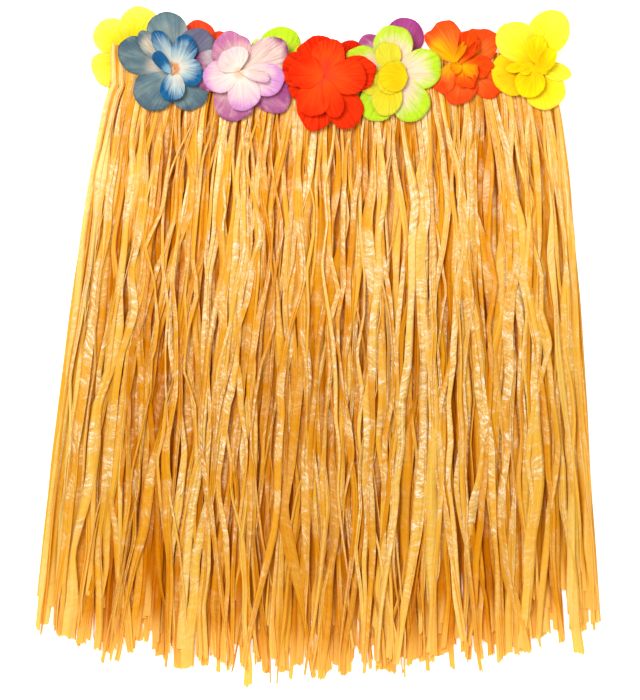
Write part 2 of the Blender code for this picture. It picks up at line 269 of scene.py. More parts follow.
# every size of a ribbon set that its geometry tree reads, in the tree's order
ribbonSizes = {
    "Ribbons": ("NodeSocketInt", 10),
    "Columns": ("NodeSocketInt", 7),
    "Rows": ("NodeSocketInt", 50),
    "Seed": ("NodeSocketInt", 1),
    "Narrowest": ("NodeSocketFloat", 2.0 * mm),
    "Widest": ("NodeSocketFloat", 9.0 * mm),
    "Low Z": ("NodeSocketFloat", 6.0 * mm),
    "High Z": ("NodeSocketFloat", 11.0 * mm),
    "Band Low Z": ("NodeSocketFloat", 9.2 * mm),
    "Band High Z": ("NodeSocketFloat", 10.3 * mm),
    "Short": ("NodeSocketFloat", 45.0 * mm),
    "Long": ("NodeSocketFloat", 7.0 * mm),
    "Ragged": ("NodeSocketFloat", 0.8),
    "Wander": ("NodeSocketFloat", 6.5 * mm),
    "Crossing": ("NodeSocketFloat", 12.0 * mm),
    "Kick": ("NodeSocketFloat", 5.0 * mm),
    "Roll": ("NodeSocketFloat", 0.7),
    "Fold": ("NodeSocketFloat", 0.5 * mm),
    "Arch": ("NodeSocketFloat", 0.2),
    "Pearly": ("NodeSocketFloat", 1.0),
    "Sunk Shade": ("NodeSocketFloat", 0.0),
    "Film": ("NodeSocketFloat", 0.12 * mm),
    "Material": ("NodeSocketMaterial", None),
}


def makeRibbonTree(skirt):
    tree = bpy.data.node_groups.new("raffiaRibbons", "GeometryNodeTree")
    tree.interface.new_socket("Geometry", in_out="OUTPUT", socket_type="NodeSocketGeometry")
    for name, (kind, value) in ribbonSizes.items():
        socket = tree.interface.new_socket(name, in_out="INPUT", socket_type=kind)
        if value is not None:
            socket.default_value = value
    entry = tree.nodes.new("NodeGroupInput")
    wire = Wire(tree)
    size = {name: Wire(tree, entry.outputs[name]) for name in ribbonSizes}

    def stored(shape, name, value):
        inputs = {"Geometry": shape, "Name": name, "Value": value}
        return wire.make("GeometryNodeStoreNamedAttribute", inputs, data_type="FLOAT", domain="POINT")

    def read(name):
        return wire.make("GeometryNodeInputNamedAttribute", {"Name": name}, data_type="FLOAT")

    # one flat ribbon, its place across and along kept on its points
    ribbon = wire.make(
        "GeometryNodeMeshGrid",
        {"Size X": 2.0, "Size Y": 1.0, "Vertices X": size["Columns"], "Vertices Y": size["Rows"]},
    )
    where = wire.make("GeometryNodeInputPosition")
    split = tree.nodes.new("ShaderNodeSeparateXYZ")
    tree.links.new(where.socket, split.inputs[0])
    ribbon = stored(ribbon, "across", Wire(tree, split.outputs["X"]))
    ribbon = stored(ribbon, "along", 0.5 - Wire(tree, split.outputs["Y"]))
    points = wire.make("GeometryNodeMeshLine", {"Count": size["Ribbons"]})
    points = stored(points, "ribbon", wire.make("GeometryNodeInputIndex"))
    copies = wire.make("GeometryNodeInstanceOnPoints", {"Points": points, "Instance": ribbon})
    copies = wire.make("GeometryNodeRealizeInstances", {"Geometry": copies})

    number, s, t = read("ribbon"), read("across"), read("along")

    def draw(which, low, high, key):
        inputs = {2: low, 3: high, "ID": key, "Seed": size["Seed"] * 40.0 + float(which)}
        return wire.make("FunctionNodeRandomValue", inputs, 1, data_type="FLOAT")

    def chance(which, low=0.0, high=1.0):
        return draw(which, low, high, number)

    # a zigzag: random values at evenly spaced knots, straight lines between them
    def zigzag(knots, which, lane=0.0):
        place = t * knots + chance(which)
        step = wire.maths("FLOOR", place)
        before, after = (draw(which, -1.0, 1.0, number * 997.0 + step + lane + ahead) for ahead in (0.0, 1.0))
        return before + (after - before) * (place - step)

    # where across the skirt it hangs, -1 at the left side and 1 at the right
    u = (number + 0.5 + (chance(1) - 0.5) * 1.6) / size["Ribbons"] * 2.0 - 1.0
    u = u.atLeast(-1.0).atMost(1.0)
    inside = 1.0 - u.size() ** 12.0 * 0.85
    hemLine = skirt["hemY"] + (u.size() ** skirt["hemPower"]) * skirt["hemRise"]
    tipY = hemLine + size["Short"] * (chance(2) ** size["Ragged"]) - size["Long"] * (chance(3) ** 8.0)
    topY = skirt["bandTop"] - (1.0 - u * u) * skirt["dip"] - chance(4) * skirt["headRagged"]
    topY = topY + (u * -1.0).rising(0.86, 1.0) * skirt["cornerRise"]
    y = topY + (tipY - topY) * t
    footY = skirt["bandFoot"] - (1.0 - u * u) * skirt["dip"]
    drop = ((footY - y) / (skirt["bandFoot"] - skirt["flareEnd"])).atLeast(0.0)
    half = skirt["waistHalf"] + drop ** skirt["flarePower"] * skirt["flare"]
    middle = (1.0 - drop.atMost(1.0)) ** 1.5 * skirt["waistX"]

    # width: gathered in the band, then folding up and opening again on its way down
    wide = size["Narrowest"] + (size["Widest"] - size["Narrowest"]) * chance(5)
    width = wide * (0.45 + drop.rising(0.0, 0.2) * 0.55) * (0.72 + zigzag(11.0, 6) * 0.28)
    pinch = chance(25, -0.8, 0.8).atLeast(0.0)
    width = width * (1.0 - pinch + pinch * (zigzag(5.0, 26).size() * 1.6).atMost(1.0))
    width = width * (1.0 - t.rising(0.7, 1.0) * chance(24, -0.3, 0.6).atLeast(0.0))

    free = drop.rising(0.01, 0.2) * inside
    bends = free * size["Wander"] * (1.0 - t.rising(0.4, 0.9) * 0.4)
    cross = (chance(12) * 2.0 - 1.0) * (drop - 0.45)
    x = middle + u * (half - width * 0.5)
    x = x + bends * (zigzag(chance(8, 3.0, 6.0), 9) + zigzag(15.0, 10) * 0.3)
    x = x + free * cross * size["Crossing"]
    # some swing aside in one straight slant above the hem, but not at the skirt's sides
    kick = chance(30, -1.0, 1.0)
    kick = kick * kick.size() * (1.0 - u.size() ** 6.0)
    x = x + kick * ((t - skirt["kickFrom"]).atLeast(0.0) / (1.0 - skirt["kickFrom"])) * size["Kick"]

    # height in the pile: as it lies on the band, then as it lies further down
    level = chance(13)
    side = u.size() ** 10.0
    # a ribbon's paleness: partly its own crumpled film, at random, and partly its height in the pile, painted
    # light that makes higher ribbons paler
    pearly = (level * 0.5 + chance(23) * 0.85 - 0.17) * size["Pearly"] * (1.0 - side * 0.6)
    copies = stored(copies, "pearly", pearly)
    # painted light and shade: ribbons at the skirt's sides are made lighter, and the lower sets darker
    copies = stored(copies, "light", side * skirt["sideLight"] - size["Sunk Shade"])
    bandZ = size["Band Low Z"] + (size["Band High Z"] - size["Band Low Z"]) * level
    pileZ = size["Low Z"] + (size["High Z"] - size["Low Z"]) * level
    pileZ = pileZ * (1.0 - u.size() ** 8.0 * 0.35) * (1.0 - t.rising(0.8, 1.0) * 0.55)
    z = bandZ + (pileZ - bandZ) * drop.rising(0.02, 0.14)
    z = z + zigzag(7.0, 15) * free * skirt["heightPlay"]

    # the film's own shape: rolled to one side or the other, and folded lengthwise
    roll = zigzag(7.0, 16) * size["Roll"] * drop.rising(0.0, 0.12)
    column = wire.maths("ROUND", (s + 1.0) * 0.5 * (size["Columns"] - 1.0))
    relief = zigzag(4.0, 18, column * 53.0) * size["Fold"] * (0.35 + drop.rising(0.0, 0.1) * 0.65)
    relief = relief + (1.0 - s * s) * width * chance(21) * size["Arch"]
    tilt = wire.maths("COSINE", roll)
    lean = roll.sine()
    reach = s * width * 0.5
    x = x + reach * tilt - relief * lean
    z = (z + reach * lean + relief * tilt).atLeast(skirt["lowest"])
    # its end is cut askew and torn
    tooth = zigzag(0.0, 27, column * 31.0) * skirt["torn"]
    y = y + (s * chance(22, -skirt["askew"], skirt["askew"]) + tooth) * (t ** 60.0)
    # the outermost ribbons on the left stand off from the rest towards the hem
    x = x - (u * -1.0).rising(0.962, 0.968) * (drop ** 5.0) * skirt["leftApart"]
    shaped = wire.make("GeometryNodeSetPosition", {"Geometry": copies, "Position": wire.vector(x, y, z)})

    # the film's thickness: a raised copy with its edges, closed by the turned first sheet
    lift = {"Mesh": shaped, "Offset Scale": size["Film"], "Individual": False}
    raised = wire.make("GeometryNodeExtrudeMesh", lift)
    under = wire.make("GeometryNodeFlipFaces", {"Mesh": shaped})
    joined = tree.nodes.new("GeometryNodeJoinGeometry")
    tree.links.new(raised.socket, joined.inputs[0])
    tree.links.new(under.socket, joined.inputs[0])
    both = Wire(tree, joined.outputs[0])
    shell = wire.make("GeometryNodeMergeByDistance", {"Geometry": both, "Distance": 0.0005 * mm})
    smooth = wire.make("GeometryNodeSetShadeSmooth", {"Geometry": shell, "Shade Smooth": True})
    angle = wire.make("GeometryNodeInputMeshEdgeAngle")
    bent = {0: angle, 1: 0.45}
    corner = wire.make("FunctionNodeCompare", bent, operation="GREATER_THAN", data_type="FLOAT")
    sharp = wire.make(
        "GeometryNodeSetShadeSmooth",
        {"Geometry": smooth, "Selection": corner, "Shade Smooth": False},
        domain="EDGE",
    )
    plain = wire.make("GeometryNodeRealizeInstances", {"Geometry": sharp})
    dressed = wire.make("GeometryNodeSetMaterial", {"Geometry": plain, "Material": size["Material"]})
    leave = tree.nodes.new("NodeGroupOutput")
    tree.links.new(dressed.socket, leave.inputs["Geometry"])
    return tree


def growFromTree(name, tree, values):
    grown = newObject(name, bpy.data.meshes.new(name))
    modifier = grown.modifiers.new("grow", "NODES")
    modifier.node_group = tree
    sockets = {item.name: item.identifier for item in tree.interface.items_tree if item.in_out == "INPUT"}
    for key, value in values.items():
        modifier[sockets[key]] = value
    graph = bpy.context.evaluated_depsgraph_get()
    made = bpy.data.meshes.new_from_object(grown.evaluated_get(graph))
    grown.modifiers.remove(modifier)
    grown.data = made
    made.name = name
    return grown


raffia = makeRaffia(raffiaLook)
ribbonTree = makeRibbonTree(skirt)

ribbonSets = {
    "ribbonsFrontTop": {
        "replaces": "fringe_front_outer",
        "Ribbons": 120,
        "Columns": 7,
        "Rows": 59,
        "Seed": 3,
        "Widest": 12.0 * mm,
        "Short": 15.0 * mm,
        "Ragged": 0.9,
        "Long": 12.0 * mm,
        "Wander": 9.0 * mm,
        "Crossing": 20.0 * mm,
        "Kick": 24.0 * mm,
        "Fold": 0.8 * mm,
        "Roll": 0.85,
        "Low Z": 8.2 * mm,
        "High Z": 12.0 * mm,
        "Band Low Z": 9.6 * mm,
        "Band High Z": 10.4 * mm,
    },
    # a few loose ribbons lie slantwise over the rest
    "ribbonsStray": {
        "replaces": "fringe_front_outer",
        "Ribbons": 34,
        "Columns": 5,
        "Rows": 66,
        "Seed": 11,
        "Narrowest": 1.2 * mm,
        "Widest": 6.0 * mm,
        "Short": 70.0 * mm,
        "Long": 10.0 * mm,
        "Low Z": 10.6 * mm,
        "High Z": 12.6 * mm,
        "Band Low Z": 10.2 * mm,
        "Band High Z": 10.5 * mm,
        "Wander": 11.0 * mm,
        "Crossing": 30.0 * mm,
        "Kick": 20.0 * mm,
    },
    "ribbonsFrontUnder": {
        "replaces": "fringe_front_inner",
        "Ribbons": 185,
        "Columns": 5,
        "Rows": 46,
        "Seed": 4,
        "Widest": 12.0 * mm,
        "Roll": 0.3,
        "Pearly": 0.6,
        "Sunk Shade": 0.34,
        "Low Z": 4.8 * mm,
        "High Z": 7.4 * mm,
        "Band Low Z": 9.2 * mm,
        "Band High Z": 9.7 * mm,
    },
    "ribbonsBackUnder": {
        "replaces": "fringe_back_inner",
        "Ribbons": 160,
        "Columns": 4,
        "Rows": 36,
        "Seed": 5,
        "Widest": 13.0 * mm,
        "Roll": 0.2,
        "Pearly": 0.5,
        "Sunk Shade": 0.3,
        "Low Z": 2.6 * mm,
        "High Z": 4.8 * mm,
        "Band Low Z": 3.2 * mm,
        "Band High Z": 3.6 * mm,
    },
    "ribbonsBackTop": {
        "replaces": "fringe_back_outer",
        "Ribbons": 150,
        "Columns": 5,
        "Rows": 50,
        "Seed": 6,
        "Widest": 12.0 * mm,
        "Low Z": 0.4 * mm,
        "High Z": 2.5 * mm,
        "Band Low Z": 2.6 * mm,
        "Band High Z": 3.3 * mm,
        "Roll": 0.25,
    },
}

for name, values in ribbonSets.items():
    values = dict(values)
    node = values.pop("replaces")
    values["Material"] = raffia
    piece = growFromTree(name, ribbonTree, values)
    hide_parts(node)
    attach(piece, "root")
    print(name, "grown,", len(piece.data.polygons), "faces")


band = {
    "middleX": 9.0 * mm,
    "half": 160.5 * mm,
    "foot": 192.0 * mm,
    "height": 24.0 * mm,
    "dip": 6.0 * mm,
    "lowZ": 4.3 * mm,
    "highZ": 8.7 * mm,
    "wall": 1.1 * mm,
    "gathers": 118,
    "gatherDepth": 0.34 * mm,
    "frill": 0.7 * mm,
    "roundPoints": 944,
    "rows": 10,
    "flatRound": 1.01,
    "dark": (0.62, 0.30, 0.055),
    "light": (0.86, 0.54, 0.17),
    "elasticRows": 8,
    "weftScale": 900.0,
}


# the tape's loop seen from above its edge: two long faces joined by tight turns
def bandLoop(fraction, look):
    radius = (look["highZ"] - look["lowZ"]) / 2
    middleZ = (look["highZ"] + look["lowZ"]) / 2
    end = look["half"] - radius
    straight = 2 * end
    turn = math.pi * radius
    distance = fraction * 2 * (straight + turn)
    if distance < straight:
        return end - distance, look["highZ"], 0.0, 1.0
    distance -= straight
    if distance < turn:
        angle = math.pi / 2 + distance / radius
        outX, outZ = math.cos(angle), math.sin(angle)
        return radius * outX - end, middleZ + radius * outZ, outX, outZ
    distance -= turn
    if distance < straight:
        return distance - end, look["lowZ"], 0.0, -1.0
    distance -= straight
    angle = -math.pi / 2 + distance / radius
    outX, outZ = math.cos(angle), math.sin(angle)
    return end + radius * outX, middleZ + radius * outZ, outX, outZ


# one point of the tape, pushed in and out by its gathers
def bandPoint(fraction, rise, wall, look):
    x, z, outX, outZ = bandLoop(fraction, look)
    wave = fraction * look["gathers"] * 2 * math.pi
    depth = look["gatherDepth"] * (0.6 + 0.4 * math.sin(wave * 0.13 + 1.0))
    depth *= 0.5 + 0.5 * abs(rise * 2 - 1)
    push = depth * (math.sin(wave) + 0.4 * math.sin(wave * 2.3 + rise * 2)) - wall
    dip = look["dip"] * (1 - min(1.0, (x / look["half"]) ** 2))
    y = look["foot"] - dip + rise * look["height"]
    y += look["frill"] * 0.5 * math.sin(wave * 0.5 + 0.7) * (rise - 0.5)
    return look["middleX"] + x + outX * push, y, z + outZ * push


def makeTape(look):
    made, wire = newMaterial("bandTape")
    around, up = attribute(wire, "around"), attribute(wire, "up")
    # elastic rows run round the tape, with a weft thread between them
    elastic = (up * (look["elasticRows"] * math.pi)).sine().size()
    weft = wire.vector(around * look["weftScale"], up * 6.0, 0.0).noise(1.0, 2.0)
    tape = wire.make(
        "ShaderNodeBsdfPrincipled",
        {
            "Base Color": (weft * 0.8).blend(look["dark"], look["light"]),
            "Roughness": 0.72 - weft * 0.15,
            "Normal": wire.bump(elastic * 0.7 + weft * 0.5, 0.6, 0.3 * mm),
            "Specular IOR Level": 0.25,
        },
    )
    finishMaterial(wire, tape)
    return made


def makeBand(look):
    points, faces, along, up = [], [], [], []
    count, rows = look["roundPoints"], look["rows"]
    for wall in (0.0, look["wall"]):
        for j in range(rows + 1):
            for i in range(count):
                points.append(bandPoint(i / count, j / rows, wall, look))
                along.append(i / count)
                up.append(j / rows)
    ring = count * (rows + 1)
    for j in range(rows):
        for i in range(count):
            a, b = j * count + i, j * count + (i + 1) % count
            faces.append((a, a + count, b + count, b))
            faces.append((ring + b, ring + b + count, ring + a + count, ring + a))
    top = rows * count
    for i in range(count):
        a, b = i, (i + 1) % count
        faces.append((a, b, ring + b, ring + a))
        faces.append((ring + top + a, ring + top + b, top + b, top + a))
    mesh = bpy.data.meshes.new("waistbandTape")
    mesh.from_pydata(points, [], faces)
    for key, values in {"around": along, "up": up}.items():
        mesh.attributes.new(key, "FLOAT", "POINT").data.foreach_set("value", values)
    mesh.shade_smooth()
    mesh.materials.append(makeTape(look))
    return newObject("waistbandTape", mesh)


waistband = makeBand(band)
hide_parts("waistband")
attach(waistband, "root")
print("waistband gathered")


# a petal's dye: its colours from the base to the rim, and how far out each one begins
def dye(middle, body, rim, bodyAt, rimAt, streak, **extra):
    main = {"middle": middle, "body": body, "rim": rim, "bodyAt": bodyAt, "rimAt": rimAt}
    return {**main, "streak": streak, **extra}


# cloth flowers: the dye runs out from the middle to the rim, and the cloth is pressed into ribs
petalLooks = {
    "blueOuter": dye(
        (0.50, 0.54, 0.48), (0.165, 0.255, 0.285), (0.09, 0.15, 0.19), 0.32, 0.86, 0.34,
        fade=(0.235, 0.31, 0.30), lines=0.18,
    ),
    "blueInner": dye(
        (0.84, 0.76, 0.62), (0.48, 0.62, 0.64), (0.008, 0.14, 0.34), 0.42, 0.82, 0.42, tip=0.6,
        spot=(0.74, 0.26, 0.07), pleats=0.8, crease=(0.001, 0.035, 0.13),
    ),
    "violetOuter": dye(
        (0.95, 0.74, 0.60), (0.60, 0.235, 0.36), (0.26, 0.03, 0.14), 0.5, 0.9, 0.42, tip=0.5,
        fade=(0.82, 0.50, 0.52), lines=0.16, crease=(0.45, 0.16, 0.26),
    ),
    "violetInner": dye(
        (0.96, 0.82, 0.70), (0.90, 0.66, 0.68), (0.66, 0.30, 0.62), 0.62, 0.94, 0.32, tip=0.65,
        spot=(0.90, 0.60, 0.42), pleats=0.2, lines=0.14, crease=(0.66, 0.30, 0.50),
    ),
    "redOuter": dye(
        (0.86, 0.035, 0.005), (0.94, 0.055, 0.002), (0.88, 0.035, 0.001), 0.3, 0.9, 0.35, pleats=0.75,
        crease=(0.55, 0.008, 0.001),
    ),
    "redInner": dye(
        (0.80, 0.05, 0.018), (0.97, 0.085, 0.006), (0.93, 0.034, 0.001), 0.22, 0.95, 0.5, pleats=0.6,
        crease=(0.62, 0.012, 0.001),
    ),
    "greenOuter": dye(
        (0.95, 0.70, 0.48), (0.95, 0.75, 0.50), (0.50, 0.79, 0.02), 0.44, 0.79, 0.34, tip=0.6,
        crease=(0.42, 0.56, 0.03), lines=0.16, pleats=0.34,
    ),
    "greenInner": dye(
        (0.88, 0.62, 0.003), (0.90, 0.70, 0.01), (0.76, 0.72, 0.04), 0.4, 0.9, 0.25,
        crease=(0.72, 0.50, 0.004), lines=0.16,
    ),
    "orangeOuter": dye(
        (1.0, 0.52, 0.002), (0.97, 0.20, 0.025), (0.92, 0.085, 0.008), 0.5, 0.95, 0.5,
        crease=(0.72, 0.035, 0.002), pleats=0.4,
    ),
    "orangeInner": dye((0.99, 0.46, 0.002), (0.95, 0.17, 0.005), (0.92, 0.08, 0.003), 0.55, 0.9, 0.6),
    "yellowOuter": dye(
        (0.97, 0.56, 0.002), (0.98, 0.83, 0.01), (0.99, 0.89, 0.07), 0.3, 0.85, 0.3,
        crease=(0.92, 0.66, 0.02), pleats=0.5,
    ),
    "yellowInner": dye(
        (0.96, 0.60, 0.002), (0.98, 0.76, 0.001), (0.98, 0.80, 0.004), 0.4, 0.9, 0.3,
        crease=(0.90, 0.56, 0.002), pleats=0.35,
    ),
    "backYellow": dye(
        (0.97, 0.80, 0.0), (0.98, 0.88, 0.05), (0.99, 0.91, 0.13), 0.5, 0.88, 0.3,
        crease=(0.94, 0.70, 0.02),
    ),
    "backOrangeRed": dye((0.95, 0.30, 0.02), (0.92, 0.13, 0.03), (0.86, 0.07, 0.015), 0.5, 0.9, 0.3),
    "backLime": dye((0.95, 0.85, 0.50), (0.70, 0.90, 0.05), (0.55, 0.82, 0.02), 0.5, 0.88, 0.35),
    "backDarkRed": dye((0.80, 0.03, 0.003), (0.80, 0.03, 0.002), (0.74, 0.02, 0.002), 0.4, 0.9, 0.3),
    "backPurple": dye((0.85, 0.55, 0.66), (0.57, 0.13, 0.36), (0.40, 0.06, 0.27), 0.45, 0.92, 0.35),
    "backBlue": dye((0.30, 0.45, 0.55), (0.06, 0.20, 0.36), (0.02, 0.10, 0.24), 0.45, 0.9, 0.3),
}


# the cloth's thickness and its bumps are in metres, and a petal's own sizes are in mm
cloth = {
    "thick": 0.3 * mm,
    "columns": 24,
    "rows": 13,
    "hub": 0.15,
    "lowest": 0.12,
    "leastCut": 0.31,
    "edgeOn": 0.97,
    "turnedDown": 0.3,
    "bandTop": 217.0,
    "riseOver": 26.0,
    "bend": 1.6,
    "weaveScale": 1700.0,
    "bump": 0.6,
    "bumpDepth": 1.0 * mm,
    "throughShare": 0.35,
}


def makePetalCloth(name, look):
    made, wire = newMaterial(name)
    across = attribute(wire, "across")
    rimward = attribute(wire, "rimward")
    reach = attribute(wire, "reach")
    which = attribute(wire, "petal")
    tint = attribute(wire, "tint")
    streaks = wire.vector(across * 4.0, reach * 0.8, which * 3.7).noise(2.6, 4.0, 0.62)
    mottle = wire.vector(across * 1.4, reach * 1.6, which * 5.1).noise(2.0, 3.0, 0.55)
    tip = look.get("tip", 0.45)
    run = rimward * (1 - tip) + reach * tip
    run = run + (streaks - 0.5) * look["streak"] + (mottle - 0.5) * 0.35 + tint
    bodyAt, rimAt = look["bodyAt"], look["rimAt"]
    colour = wire.make(
        "ShaderNodeValToRGB",
        {"Fac": run},
        stops=[
            (max(0.0, bodyAt - 0.3), look["middle"]),
            (bodyAt, tuple(0.5 * (m + b) for m, b in zip(look["middle"], look["body"]))),
            (min(bodyAt + 0.14, rimAt - 0.1), look["body"]),
            (min(rimAt + 0.08, 1.0), look["rim"]),
        ],
    )
    if "fade" in look:
        fadeAt = wire.vector(across * 1.1, reach * 1.3, which * 8.3)
        fade = fadeAt.noise(2.4, 3.0, 0.6).rising(0.42, 0.66)
        colour = (fade * 0.75).blend(colour, look["fade"])
    if "spot" in look:
        spot = (1.0 - (reach + (streaks - 0.5) * 0.12).rising(0.12, 0.24)) * 0.92
        colour = spot.blend(colour, look["spot"])
    stain = attribute(wire, "stain", 3) * (streaks.rising(0.3, 0.62) * 0.55 + 0.45)
    colour = stain.blend(colour, attribute(wire, "stain", 0))
    # creases pressed into the cloth fan out from its base, over its weave
    fan = wire.vector(across * 4.5, reach * 0.45, which * 2.3).noise(1.9, 1.0, 0.5)
    creases = (1.0 - (fan - 0.5).size() * 17.0).atLeast(0.0) * reach.rising(0.12, 0.5)
    ribs = wire.vector(across * 9.0, reach * 0.6, which * 4.3).noise(1.9, 2.0, 0.5)
    place = wire.make("ShaderNodeTexCoord", None, 3)
    weave = place.noise(cloth["weaveScale"], 1.0)
    height = ribs * reach.rising(0.1, 0.7) * 1.2 - creases * 0.5 + weave * 0.1
    # painted shade: the creases and pleats are painted darker, as shade falls in the folds
    deep = look.get("crease", tuple(c * 0.55 for c in look["rim"]))
    colour = (creases * look.get("lines", 0.3)).blend(colour, deep)
    pleats = ribs.rising(0.5, 0.64) * reach.rising(0.4, 0.9) * look.get("pleats", 0.22)
    colour = pleats.blend(colour, deep)
    front = wire.make(
        "ShaderNodeBsdfPrincipled",
        {
            "Base Color": colour,
            "Roughness": 0.66 + weave * 0.2,
            "Normal": wire.bump(height, cloth["bump"], cloth["bumpDepth"]),
            "Specular IOR Level": 0.08,
        },
    )
    through = wire.make("ShaderNodeBsdfTranslucent", {"Color": look["body"]})
    finishMaterial(wire, wire.make("ShaderNodeMixShader", {0: cloth["throughShare"], 1: front, 2: through}))
    return made


# what a petal is like where neither its whorl nor the petal itself says: full, scallop, skew and point
# shape its outline, roll is a radius, and tint and lean shift the dye all over and from side to side
plainPetal = {
    "full": 0.5,
    "scallop": 0.35,
    "skew": 0.0,
    "point": 0.0,
    "ruffles": 6.0,
    "curl": 0.0,
    "roll": 0.0,
    "dx": 0.0,
    "dy": 0.0,
    "tint": 0.0,
    "lean": 0.0,
    "stain": None,
}


def petal(turn, long, wide, **apart):
    return {"turn": turn, "long": long, "wide": wide, **apart}


def smoothStep(value):
    value = min(1.0, max(0.0, value))
    return value * value * (3 - 2 * value)


# a petal's outline in polar form is cos(angle)^full, which closes in a round tip
def spreadFor(long, wide, full):
    low, high = math.radians(12), math.radians(120)
    for _ in range(40):
        spread = (low + high) / 2
        widest = 0.0
        for i in range(1, 90):
            angle = min(spread, math.pi * 0.6) * i / 90
            widest = max(widest, math.cos(angle / spread * math.pi / 2) ** full * math.sin(angle))
        if 2 * widest * long < wide:
            low = spread
        else:
            high = spread
    return spread


# a stain: its colour and strength, its middle and width across, and where it starts and ends along
def stainAt(stain, side, reach):
    if not stain:
        return 0.0, 0.0, 0.0, 0.0
    colour, strength, middle, wide, start, end = stain
    strength *= math.exp(-(((side - middle) / wide) ** 2))
    strength *= smoothStep((reach - start + 0.1) / 0.2) * smoothStep((end - reach + 0.1) / 0.2)
    return (*colour, min(1.0, strength))


# how far out a petal's edge is at a place across it, from -1 to 1
def petalEdge(facts, side):
    phase, wobble = facts["phase"], facts["wobble"]
    edge = facts["long"] * max(math.cos(side * math.pi / 2), 0.004) ** facts["full"]
    edge *= 1 + 0.07 * wobble[2] * side + 0.03 * wobble[3] * math.sin(side * 3.6 + phase)
    edge *= 1 + facts["skew"] * side
    waves = math.sin(side * 7 + phase) + 0.6 * math.sin(side * 13 + phase * 2)
    edge += facts["scallop"] * waves * (1 - abs(side)) ** 0.3
    edge += facts["point"] * max(0.0, 1 - abs(side) / 0.35)
    return max(edge, 0.6)


# a petal's point before it is turned to its place: x runs out from the flower's middle
def petalPoint(facts, side, along):
    edge = petalEdge(facts, side)
    out = cloth["hub"] + (edge - cloth["hub"]) * along if edge > 1.5 else edge * along
    reach = out / facts["long"]
    x = out * math.cos(side * facts["spread"])
    y = out * math.sin(side * facts["spread"])
    part = y / facts["wide"] * 2
    wobble = facts["wobble"]
    z = facts["base"] + facts["lift"] * reach ** cloth["bend"]
    z += facts["cup"] * part**2 * min(1.0, reach * 1.5)
    z += facts["tilt"] * part * reach
    z += facts["ruffle"] * math.sin(side * facts["ruffles"] + facts["phase"]) * reach**3
    z += 0.4 * wobble[0] * math.sin(side * 3 + wobble[1] * 3) * reach
    z -= facts["curl"] * max(0.0, reach - 0.6) ** 2 * 6
    if facts["roll"]:
        radius = facts["roll"]
        z += radius * (1 - math.cos(y / radius)) * min(1.0, reach * 2.5)
        y = radius * math.sin(y / radius)
    return x, y, z, reach


# the flat cloth in one petal, in thin slices
def petalCut(facts):
    slices = 90
    cut = 0.0
    for i in range(slices):
        side = (i + 0.5) / slices * 2 - 1
        edge = facts["long"] * math.cos(side * math.pi / 2) ** facts["full"]
        cut += facts["spread"] * 2 / slices * edge**2 / 2
    return cut


def sewWhorl(name, centre, petals, look, habit, node, restsOn, faceDown=False):
    chance = random.Random(sum(ord(letter) * (i + 3) for i, letter in enumerate(name)))
    points, faces, stains = [], [], []
    notes = {"across": [], "rimward": [], "reach": [], "petal": [], "tint": []}
    columns, rows = cloth["columns"], cloth["rows"]
    cut = 0.0
    for order, row in enumerate(petals):
        facts = {**plainPetal, **habit, **row}
        facts["spread"] = spreadFor(facts["long"], facts["wide"], facts["full"])
        facts["phase"] = chance.uniform(0, 6.28)
        facts["wobble"] = [chance.uniform(-1, 1) for _ in range(4)]
        turn = math.radians(facts["turn"])
        start = len(points)
        for j in range(rows + 1):
            for i in range(columns + 1):
                side = math.sin((i / columns * 2 - 1) * math.pi / 2 * cloth["edgeOn"])
                x, y, z, reach = petalPoint(facts, side, j / rows)
                px = centre[0] + facts["dx"] + x * math.cos(turn) - y * math.sin(turn)
                py = centre[1] + facts["dy"] + x * math.sin(turn) + y * math.cos(turn)
                if faceDown:
                    z = facts["base"] - (z - facts["base"]) * cloth["turnedDown"]
                    z += facts["rise"] * smoothStep((py - cloth["bandTop"]) / cloth["riseOver"])
                points.append((px * mm, py * mm, max(z, cloth["lowest"]) * mm))
                notes["across"].append(side)
                notes["rimward"].append(j / rows)
                notes["reach"].append(reach)
                notes["petal"].append(order + 0.37 * len(name))
                notes["tint"].append(facts["tint"] + facts["lean"] * side)
                stains.extend(stainAt(facts["stain"], side, reach))
        for j in range(rows):
            for i in range(columns):
                a = start + j * (columns + 1) + i
                faces.append((a, a + columns + 1, a + columns + 2, a + 1))
        cut += petalCut(facts)
    mesh = bpy.data.meshes.new(name)
    mesh.from_pydata(points, [], faces)
    for key, values in notes.items():
        mesh.attributes.new(key, "FLOAT", "POINT").data.foreach_set("value", values)
    mesh.attributes.new("stain", "FLOAT_COLOR", "POINT").data.foreach_set("color", stains)
    mesh.shade_smooth()
    mesh.materials.append(petalCloths[look])
    whorl = newObject(name, mesh)
    thick = whorl.modifiers.new("thick", "SOLIDIFY")
    thick.thickness = cloth["thick"]
    thick.offset = 0.0
    whorl = settle(whorl)
    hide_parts(node)
    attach(whorl, "root")
    # the layer is cut out of a square that its longest petal just fits
    width = 2.0 * max(row["long"] for row in petals) * mm
    square = width * width
    area = min(max(cut * mm * mm, cloth["leastCut"] * square), square)


def settle(piece):
    graph = bpy.context.evaluated_depsgraph_get()
    made = bpy.data.meshes.new_from_object(piece.evaluated_get(graph))
    piece.modifiers.clear()
    piece.data = made
    made.name = piece.name
    return piece


petalCloths = {name: makePetalCloth(name, look) for name, look in petalLooks.items()}

